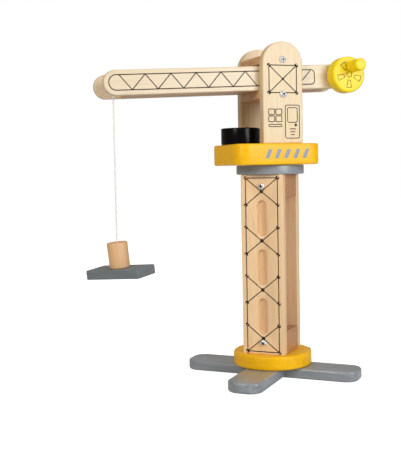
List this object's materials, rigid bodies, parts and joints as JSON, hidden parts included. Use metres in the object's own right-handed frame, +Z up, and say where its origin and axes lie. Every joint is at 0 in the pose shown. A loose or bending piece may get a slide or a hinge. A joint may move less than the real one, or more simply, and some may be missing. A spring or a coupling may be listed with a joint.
{
  "type": "toy tower crane",
  "caption": "Wooden toy tower crane: cross base, screwed tower, turning platform and jib, hand winch, and a magnet on a string holding a steel-faced block.",
  "frame": {"origin": "on the turning axis, at the underside of the cross base, where the crane stands on the floor", "axes": "+Z up along the turning axis; the jib runs along X with its tip towards -X and the winch towards +X; the printed fronts of the uprights and the winch wheel face -Y"},
  "size_m": [0.361, 0.1926, 0.435],
  "materials": {
    "pale_wood": "clear satin lacquer over pale beech",
    "red_wood": "oiled reddish wood",
    "tan_wood": "smooth unpainted dowel and strip",
    "grey_paint": "satin grey paint on wood",
    "block_grey_paint": "satin grey stain on wood",
    "yellow_paint": "satin yellow paint on wood",
    "lemon_paint": "satin lemon yellow paint on wood",
    "black_paint": "semi-gloss black paint on wood",
    "screw_steel": "zinc-plated screw steel",
    "magnet_steel": "nickel-plated magnet",
    "string": "twisted white cotton"
  },
  "bodies": {
    "base_and_tower": {"foot_bar_long": "grey_paint", "foot_bar_cross": "grey_paint", "base_plate": "yellow_paint", "base_screws": "screw_steel", "tower_front_panel": "pale_wood", "tower_rear_panel": "pale_wood", "tower_top_block": "red_wood", "tower_bottom_block": "red_wood", "tower_screws": "screw_steel", "turntable_disc": "grey_paint", "pivot_bolt": "screw_steel", "pivot_washer": "screw_steel"},
    "upper_works": {"platform": "yellow_paint", "platform_drum": "black_paint", "upright_front": "pale_wood", "upright_rear": "pale_wood", "block_above_jib": "red_wood", "block_below_jib": "red_wood", "upright_screws": "screw_steel", "jib_front_board": "pale_wood", "jib_rear_board": "pale_wood", "jib_floor": "tan_wood", "tip_dowel": "tan_wood", "string_run": "string"},
    "winch": {"winch_axle": "tan_wood", "winch_wheel": "lemon_paint", "winch_peg": "lemon_paint", "winch_collar": "tan_wood", "string_winding": "string"},
    "string": {"string_fall": "string"},
    "magnet_hook": {"magnet_holder": "tan_wood", "magnet": "magnet_steel", "string_knot": "string"},
    "load": {"load_block": "block_grey_paint", "load_plate": "screw_steel"}
  },
  "joints": [
    {"name": "slew", "type": "hinge", "parent": "base_and_tower", "child": "upper_works", "pos_m": [0, 0, 0.279], "axis": [0, 0, 1], "continuous": true},
    {"name": "winch_spin", "type": "hinge", "parent": "upper_works", "child": "winch", "pos_m": [0.09092, 0, 0.39431], "axis": [0, 1, 0], "range_deg": [-1320, 1725]},
    {"name": "string_swing", "type": "hinge", "parent": "upper_works", "child": "string", "pos_m": [-0.21013, 0, 0.3861], "axis": [0, 1, 0], "range_deg": [-6, 6]},
    {"name": "hoist", "type": "slide", "parent": "string", "child": "magnet_hook", "axis": [0, 0, 1], "range_m": [-0.134, 0.175], "deforming": ["string_fall"]},
    {"name": "load_pull_off", "type": "slide", "parent": "magnet_hook", "child": "load", "axis": [0.0993, 0, -0.9951], "range_m": [0, 0.06]}
  ],
  "couplings": [
    {"joint": "hoist", "follows": "winch_spin", "m_per_rad": 0.0058}
  ]
}
